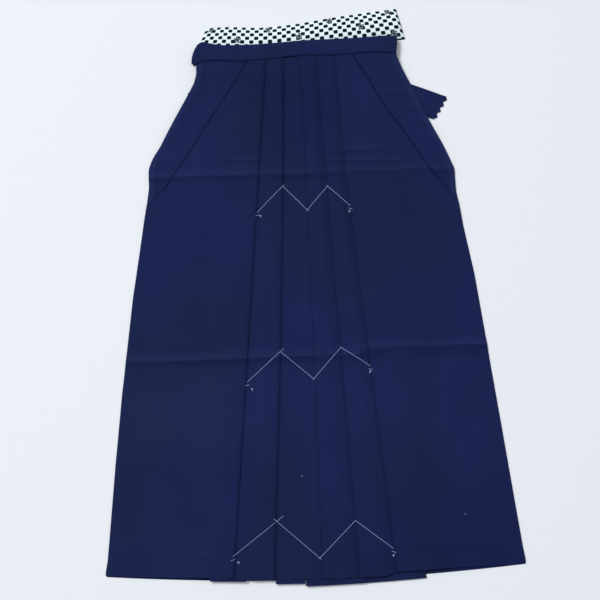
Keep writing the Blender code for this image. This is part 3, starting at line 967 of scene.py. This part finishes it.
def check_cloth(name):
    """Black and white check with small scattered blossoms."""
    colours, sizes = bpy.context.scene.hakama_colours, bpy.context.scene.hakama_sizes
    material, graph, where = new_material(name)
    _, across, along, yarns = weave_of(graph, CHECK_PITCH)
    wander = graph.noise(where, WANDER_SCALE) - 0.5
    half, tall = math.pi / sizes.check, math.pi / (sizes.check * CHECK_FORESHORTENED)
    cells = (across * tall).sine() * (along * half).sine() + wander * 0.05
    base = graph.blend(cells.between(*PALE_SQUARES), colours.check_black, colours.check_white)
    step_x, step_y = sizes.blossom_step, sizes.blossom_step * BLOSSOM_ROWS
    rows = across / step_y + BLOSSOM_START[1]
    row = rows.floor()
    columns = along / step_x + row * 0.5 + BLOSSOM_START[0]
    u = (columns - columns.floor() - 0.5) * step_x
    v = (rows - row - 0.5) * step_y
    radius = (u * u + v * v).root()
    lobes = (v.angle_to(u) * PETALS + row * BLOSSOM_TURN).cosine()
    out = radius / (sizes.blossom * (1 - PETAL_DEPTH + PETAL_DEPTH * lobes))
    flower = graph.blend(out.between(0.55, 0.95), colours.blossom, colours.blossom_rim)
    heart = 1 - (radius / sizes.blossom).between(0.2, 0.3)
    flower = graph.blend(heart, flower, colours.check_black)
    base = graph.blend(1 - out.between(0.88, 1.08), base, flower)
    finish_surface(graph, {
        "Base Color": graph.blend(yarns * 0.015, base, YARN_GLINT),
        "Roughness": 0.8 + wander * 0.1, "Specular IOR Level": 0.03,
    }, yarns + wander, strength=0.25, distance=0.0003)
    return material


# Columns: the material's name, what makes it
WOVEN = {"navy_cloth": ("woven_navy", navy_cloth), "check_cloth": ("woven_check", check_cloth)}


def thread_material(name, colour):
    """Twisted cotton."""
    material, graph, where = new_material(name)
    fibre = graph.noise(graph.scaled(where, 1, 1, 0.3), FIBRE_SCALE)
    finish_surface(graph, {
        "Base Color": graph.blend(fibre, [part * 0.75 for part in colour], colour),
        "Roughness": 0.6 + fibre * 0.2, "Specular IOR Level": 0.08, "Sheen Weight": 0.02,
    }, fibre, strength=0.5, distance=0.0002)
    return material


def floor_material(colour):
    material, graph, where = new_material("pale_floor")
    grain = graph.noise(where, GRAIN_SCALE, detail=3)
    finish_surface(graph, {
        "Base Color": graph.blend(grain * 0.05, colour, FLOOR_GRAIN),
        "Roughness": 0.8 + grain * 0.1, "Specular IOR Level": 0.1,
    }, grain, strength=0.02, distance=0.0005)
    return material


# ------------ threads and stitches


def new_tree(name, **lengths):
    """A geometry tree that reads edges as curves, with inputs for lengths and a material.
    Gives the tree, its graph, the curves, the lengths and the material."""
    tree = bpy.data.node_groups.new(name, "GeometryNodeTree")
    kinds = {"Geometry": "Geometry", **dict.fromkeys(lengths, "Float"), "Material": "Material"}
    for label, kind in kinds.items():
        socket = tree.interface.new_socket(label, in_out="INPUT", socket_type="NodeSocket" + kind)
        if label in lengths:
            socket.default_value = lengths[label]
    tree.interface.new_socket("Geometry", in_out="OUTPUT", socket_type="NodeSocketGeometry")
    graph = Graph(tree)
    edges, *values, material, _ = graph.add("NodeGroupInput")
    return tree, graph, graph.add("GeometryNodeMeshToCurve", {"Mesh": edges})[0], values, material


def end_tree(graph, shape, material):
    real = graph.add("GeometryNodeRealizeInstances", {"Geometry": shape})[0]
    done = graph.add("GeometryNodeSetMaterial", {"Geometry": real, "Material": material})[0]
    graph.add("NodeGroupOutput", {"Geometry": done})


def thread_tree():
    """Edges become round threads."""
    tree, graph, line, (radius,), material = new_tree("round_thread", Radius=0.0004)
    ring = graph.add("GeometryNodeCurvePrimitiveCircle", {"Resolution": 7, "Radius": radius})[0]
    tube = graph.add("GeometryNodeCurveToMesh", {
        "Curve": line, "Profile Curve": ring, "Fill Caps": True})[0]
    end_tree(graph, tube, material)
    return tree


def stitch_tree():
    """Edges become rows of small stitches along them."""
    tree, graph, line, (spacing, length, width), material = new_tree(
        "stitches", Spacing=0.006, Length=0.0025, Width=0.0006)
    even = graph.add("GeometryNodeResampleCurve", {"Curve": line, "Length": spacing}, mode="LENGTH")[0]
    bead = graph.add("GeometryNodeMeshUVSphere", {"Segments": 6, "Rings": 4, "Radius": 0.5})[0]
    size = graph.add("ShaderNodeCombineXYZ", {0: length, 1: width, 2: width})[0]
    bead = graph.add("GeometryNodeTransform", {"Geometry": bead, "Scale": size})[0]
    facing = graph.add("FunctionNodeAlignRotationToVector",
                       {"Vector": graph.add("GeometryNodeInputTangent")[0]}, axis="X")[0]
    stitches = graph.add("GeometryNodeInstanceOnPoints", {
        "Points": even, "Instance": bead, "Rotation": facing})[0]
    end_tree(graph, stitches, material)
    return tree


def through_tree(name, lines, tree, values):
    """Run polylines through a geometry tree and keep the result as a plain mesh."""
    mesh = bpy.data.meshes.new(name)
    bm = bmesh.new()
    for line in lines:
        verts = [bm.verts.new(point) for point in line]
        for ends in zip(verts, verts[1:]):
            bm.edges.new(ends)
    bm.to_mesh(mesh)
    bm.free()
    thing = new_object(name, mesh)
    modifier = thing.modifiers.new("threads", "NODES")
    modifier.node_group = tree
    for socket in tree.interface.items_tree:
        if socket.in_out == "INPUT" and socket.name in values:
            modifier[socket.identifier] = values[socket.name]
    finished(thing)
    for face in thing.data.polygons:
        face.use_smooth = True
    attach(thing, BODY)


class Surface:
    """The cloth as it lies, to set threads down on."""

    def __init__(self):
        points, faces = [], []
        for name in TOP_PIECES:
            mesh = bpy.data.objects[name].data
            faces += [[len(points) + index for index in face.vertices] for face in mesh.polygons]
            points += [vert.co.copy() for vert in mesh.vertices]
        self.tree = BVHTree.FromPolygons(points, faces)

    def point(self, x, drop, above):
        """The point that lies `above` over the cloth at a place, all in millimetres."""
        hit = self.tree.ray_cast(place(x, drop, OVER_ALL), Vector((0, 0, -1)))[0]
        if hit is None:
            raise RuntimeError(f"no cloth under x {x:.0f}, drop {drop:.0f}")
        return hit + Vector((0, 0, above * MM))

    def line(self, corners):
        """Where stitches lie along a path of (x, drop)."""
        spots = []
        for a, b in zip(corners, corners[1:]):
            spots += span(a, b, max(1, round(math.dist(a, b) / STITCH_CHORD)))
        return [self.point(*spot, STITCH_LIFT) for spot in spots + [corners[-1]]]


def taut(surface, start, end, radius):
    """A thread pulled straight from one point of the cloth to another: it bridges hollows
    and dips into the cloth at both ends."""
    along = shares(THREAD_STEPS)
    points = [surface.point(*part_way(start, end, share), radius + THREAD_CLEAR)
              for share in along]
    first, last = points[0].z, points[-1].z
    for share, point in zip(along, points):
        point.z = max(point.z, mix(point.z, mix(first, last, share), THREAD_PULL))
    for point in (points[0], points[-1]):
        point.z -= THREAD_DIP * MM
    return points


def beyond(a, b, reach):
    """The point `reach` past b on the way from a."""
    return part_way(a, b, 1 + reach / math.dist(a, b))


def knot(surface, x, drop, radius):
    """A small overhand knot lying on the cloth."""
    middle = surface.point(x, drop, radius)
    points = []
    for share in shares(KNOT_POINTS):
        angle = 2 * math.pi * share
        out = KNOT_SIZE * (1 + 0.5 * math.cos(3 * angle))
        points.append(middle + Vector((
            out * math.cos(2 * angle), out * math.sin(2 * angle) * 0.9,
            KNOT_SIZE * (0.5 + 0.5 * math.sin(3 * angle)))) * MM)
    return points


def basting_lines(surface, turns, knots, radius):
    """A zigzag of long basting stitches that cross at each turn, both ends fastened."""
    lines = []
    for (*a, _, out), (*b, over, _) in zip(turns, turns[1:]):
        lines.append(taut(surface, beyond(b, a, out), beyond(a, b, over), radius))
    for (x, drop, *_), (knot_x, knot_drop), way in zip((turns[0], turns[-1]), knots, (1, -1)):
        knot_x, knot_drop = x + knot_x, drop + knot_drop
        tick = [(x + way * tick_x, drop + tick_drop) for tick_x, tick_drop in END_TICK]
        tail = [(knot_x + way * tail_x, knot_drop + tail_drop) for tail_x, tail_drop in KNOT_TAIL]
        lines += [taut(surface, *tick, radius), knot(surface, knot_x, knot_drop, radius),
                  taut(surface, *tail, radius)]
    return lines


def sewn_seams():
    """Where the sewn stitches run: paths of (x, drop)."""
    hem, openings = [], []
    from_centre, from_side, step = HEM_SEAM
    for side in SIDES:
        sign = SIGN[side]
        outer = int(abs(at(SIDE_EDGE[side], SIDE_HEM_DROP[side] + LENGTH)) - from_side)
        hem.append([(x, hem_drop(x) - TURN_UP + 1)
                    for x in range(sign * from_centre, sign * outer, sign * step)])
        for outline, inset, first, short in OPENING_SEAMS:
            drops = range(first, OPENING_END[side] - short, OPENING_SEAM_STEP)
            openings.append([(at(outline[side], drop) - sign * inset, drop) for drop in drops])
    band = [(x, lower - SEAM_INSET) for x, lower, _, _ in through(FRONT_BAND, BAND_SEAM_ROWS)[2:-2]]
    tie = [[tie_place("right", BACK_TIE["run"] + past, across) for past in range(*TIE_SEAM)]
           for across in (SEAM_INSET, BACK_TIE["width"] - SEAM_INSET)]
    return {"hem": hem, "openings": openings, "band": [band], "tie": tie}


# ------------ the add-on


def length(name, description, default, least, most):
    return FloatProperty(name=name, description=description, default=default, min=least,
                         max=most, subtype="DISTANCE")


def colour(name, description, *default):
    return FloatVectorProperty(name=name, description=description, default=default, subtype="COLOR")


class HakamaSizes(PropertyGroup):
    cloth: length("Cloth", "Thickness of the cloth", 0.0005, 0.0002, 0.001)
    thread: length("Basting thread", "Diameter of the basting thread", 0.0007, 0.0003, 0.002)
    stitch: length("Stitch", "Length of a sewn stitch", 0.0024, 0.001, 0.006)
    check: length("Check", "Side of one square of the check", 0.0087, 0.003, 0.03)
    blossom: length("Blossom", "Radius of a printed blossom", 0.0076, 0.002, 0.02)
    blossom_step: length("Blossom step", "Distance between blossoms", 0.116, 0.02, 0.3)


class HakamaColours(PropertyGroup):
    navy_green: colour("Navy", "Greener patches of the dye", 0.0062, 0.0112, 0.0432)
    navy_violet: colour("Violet navy", "Redder patches of the dye", 0.0069, 0.0108, 0.0545)
    # Wear at the edges, and painted light on the creases and broad patches
    rubbed_and_painted_light: colour("Rubbed and painted light", "Colour of rubbed edges", 0.018, 0.028, 0.105)
    # Painted shade beside the folds, seams and creases and under the band
    painted_shade: colour("Painted shade", "Colour beside the pressed folds", 0.0030, 0.0048, 0.0300)
    check_white: colour("Check white", "Pale squares", 0.78, 0.90, 0.94)
    check_black: colour("Check black", "Dark squares", 0.0012, 0.0060, 0.0120)
    blossom: colour("Blossom", "Inside of the blossoms", 0.16, 0.20, 0.235)
    blossom_rim: colour("Blossom rim", "Edge of the petals", 0.014, 0.026, 0.038)
    thread: colour("Basting thread", "Colour of the basting", 0.40, 0.43, 0.74)
    seam: colour("Sewing thread", "Colour of the sewn stitches", 0.0055, 0.009, 0.040)
    floor: colour("Floor", "Colour of the floor", 0.79, 0.815, 0.862)


def on_both_sides(*makers):
    for side in SIDES:
        for make in makers:
            make(side)
    return DONE


class HAKAMA_OT_back(Operator):
    """Back panels with the pleat at the centre, and the gussets of the inner legs"""
    bl_idname = "hakama.back"
    bl_label = "Back and gussets"

    def execute(self, context):
        return on_both_sides(back_panel, gusset)


class HAKAMA_OT_front(Operator):
    """Front panels with their knife pleats"""
    bl_idname = "hakama.front"
    bl_label = "Front panels"

    def execute(self, context):
        return on_both_sides(front_panel)


class HAKAMA_OT_side_strips(Operator):
    """Folded strips of the side openings"""
    bl_idname = "hakama.side_strips"
    bl_label = "Side strips"

    def execute(self, context):
        return on_both_sides(side_strip)


class HAKAMA_OT_bands(Operator):
    """Front band, back band and the check facing of the back band"""
    bl_idname = "hakama.bands"
    bl_label = "Bands"

    def execute(self, context):
        front_band()
        back_band()
        back_facing()
        return DONE


class HAKAMA_OT_ties(Operator):
    """Ties folded inside the waist, one end pinked and free"""
    bl_idname = "hakama.ties"
    bl_label = "Ties"

    def execute(self, context):
        return on_both_sides(front_tie, back_tie)


class HAKAMA_OT_basting(Operator):
    """White basting threads that hold the pleats"""
    bl_idname = "hakama.basting"
    bl_label = "Basting threads"

    def execute(self, context):
        surface, radius = Surface(), context.scene.hakama_sizes.thread / MM / 2
        material = thread_material("basting_thread", context.scene.hakama_colours.thread)
        tree = thread_tree()
        lines = {name: basting_lines(surface, turns, END_KNOTS[name], radius)
                 for name, turns in BASTING.items()}
        for x, drop in TACKS:
            ends = [(x + end_x, drop + end_drop) for end_x, end_drop in TACK_ENDS]
            lines["lower"].append(taut(surface, *ends, radius))
        for name, threads in lines.items():
            through_tree("basting_" + name, threads, tree,
                         {"Radius": radius * MM, "Material": material})
        return DONE


class HAKAMA_OT_stitches(Operator):
    """Hand stitches of the hems, openings, band and tie"""
    bl_idname = "hakama.stitches"
    bl_label = "Stitches"

    def execute(self, context):
        surface, stitch, tree = Surface(), context.scene.hakama_sizes.stitch, stitch_tree()
        material = thread_material("sewing_thread", context.scene.hakama_colours.seam)
        for name, paths in sewn_seams().items():
            through_tree("stitches_" + name, [surface.line(path) for path in paths], tree, {
                "Spacing": STITCH_SPACING[name], "Length": stitch,
                "Width": stitch * STITCH_WIDTH, "Material": material})
        return DONE


def in_scene(name, data, spot):
    """A lamp or camera at a spot."""
    thing = new_object(name, data)
    thing.location = spot
    return thing


class HAKAMA_OT_stage(Operator):
    """Pale floor, soft light and the camera"""
    bl_idname = "hakama.stage"
    bl_label = "Stage"

    def execute(self, context):
        scene = context.scene
        mesh = bpy.data.meshes.new("floor")
        bm = bmesh.new()
        bmesh.ops.create_grid(bm, x_segments=1, y_segments=1, size=FLOOR_HALF)
        bm.to_mesh(mesh)
        bm.free()
        new_object("floor", mesh, floor_material(scene.hakama_colours.floor))
        scene.world = bpy.data.worlds.new("soft_room")
        scene.world.use_nodes = True
        room = scene.world.node_tree.nodes["Background"].inputs
        room["Color"].default_value, room["Strength"].default_value = ROOM
        scene.view_settings.view_transform = "Standard"
        for name, spot, size, power in LAMPS:
            light = bpy.data.lights.new(name, "AREA")
            light.size, light.energy = size, power
            lamp = in_scene(name, light, spot)
            lamp.rotation_euler = (-Vector(spot)).to_track_quat("-Z", "Y").to_euler()
        back = Vector((0, 0, 1))
        back.rotate(Euler(CAMERA_TURN))
        scene.camera = in_scene("camera", bpy.data.cameras.new("camera"),
                                Vector(CAMERA_AIM) + back * CAMERA_AWAY)
        scene.camera.rotation_euler = CAMERA_TURN
        scene.camera.data.lens, scene.camera.data.sensor_width = LENS
        return DONE


class HAKAMA_PT_panel(Panel):
    """Sizes, colours and steps of the hakama"""
    bl_idname = "HAKAMA_PT_panel"
    bl_label = "Hakama"
    bl_space_type = "VIEW_3D"
    bl_region_type = "UI"
    bl_category = "Hakama"

    def draw(self, context):
        for group in (context.scene.hakama_sizes, context.scene.hakama_colours):
            for name in group.__annotations__:
                self.layout.prop(group, name)
        for step in STEPS:
            self.layout.operator(step.bl_idname)


STEPS = (HAKAMA_OT_back, HAKAMA_OT_front, HAKAMA_OT_side_strips, HAKAMA_OT_bands,
         HAKAMA_OT_ties, HAKAMA_OT_basting, HAKAMA_OT_stitches, HAKAMA_OT_stage)
CLASSES = (HakamaSizes, HakamaColours, *STEPS, HAKAMA_PT_panel)


def register():
    for each in CLASSES:
        bpy.utils.register_class(each)
    bpy.types.Scene.hakama_sizes = PointerProperty(type=HakamaSizes)
    bpy.types.Scene.hakama_colours = PointerProperty(type=HakamaColours)


def unregister():
    del bpy.types.Scene.hakama_colours
    del bpy.types.Scene.hakama_sizes
    for each in reversed(CLASSES):
        bpy.utils.unregister_class(each)


def main():
    register()
    for step in STEPS:
        group, name = step.bl_idname.split(".")
        getattr(getattr(bpy.ops, group), name)()


if __name__ == "__main__":
    main()
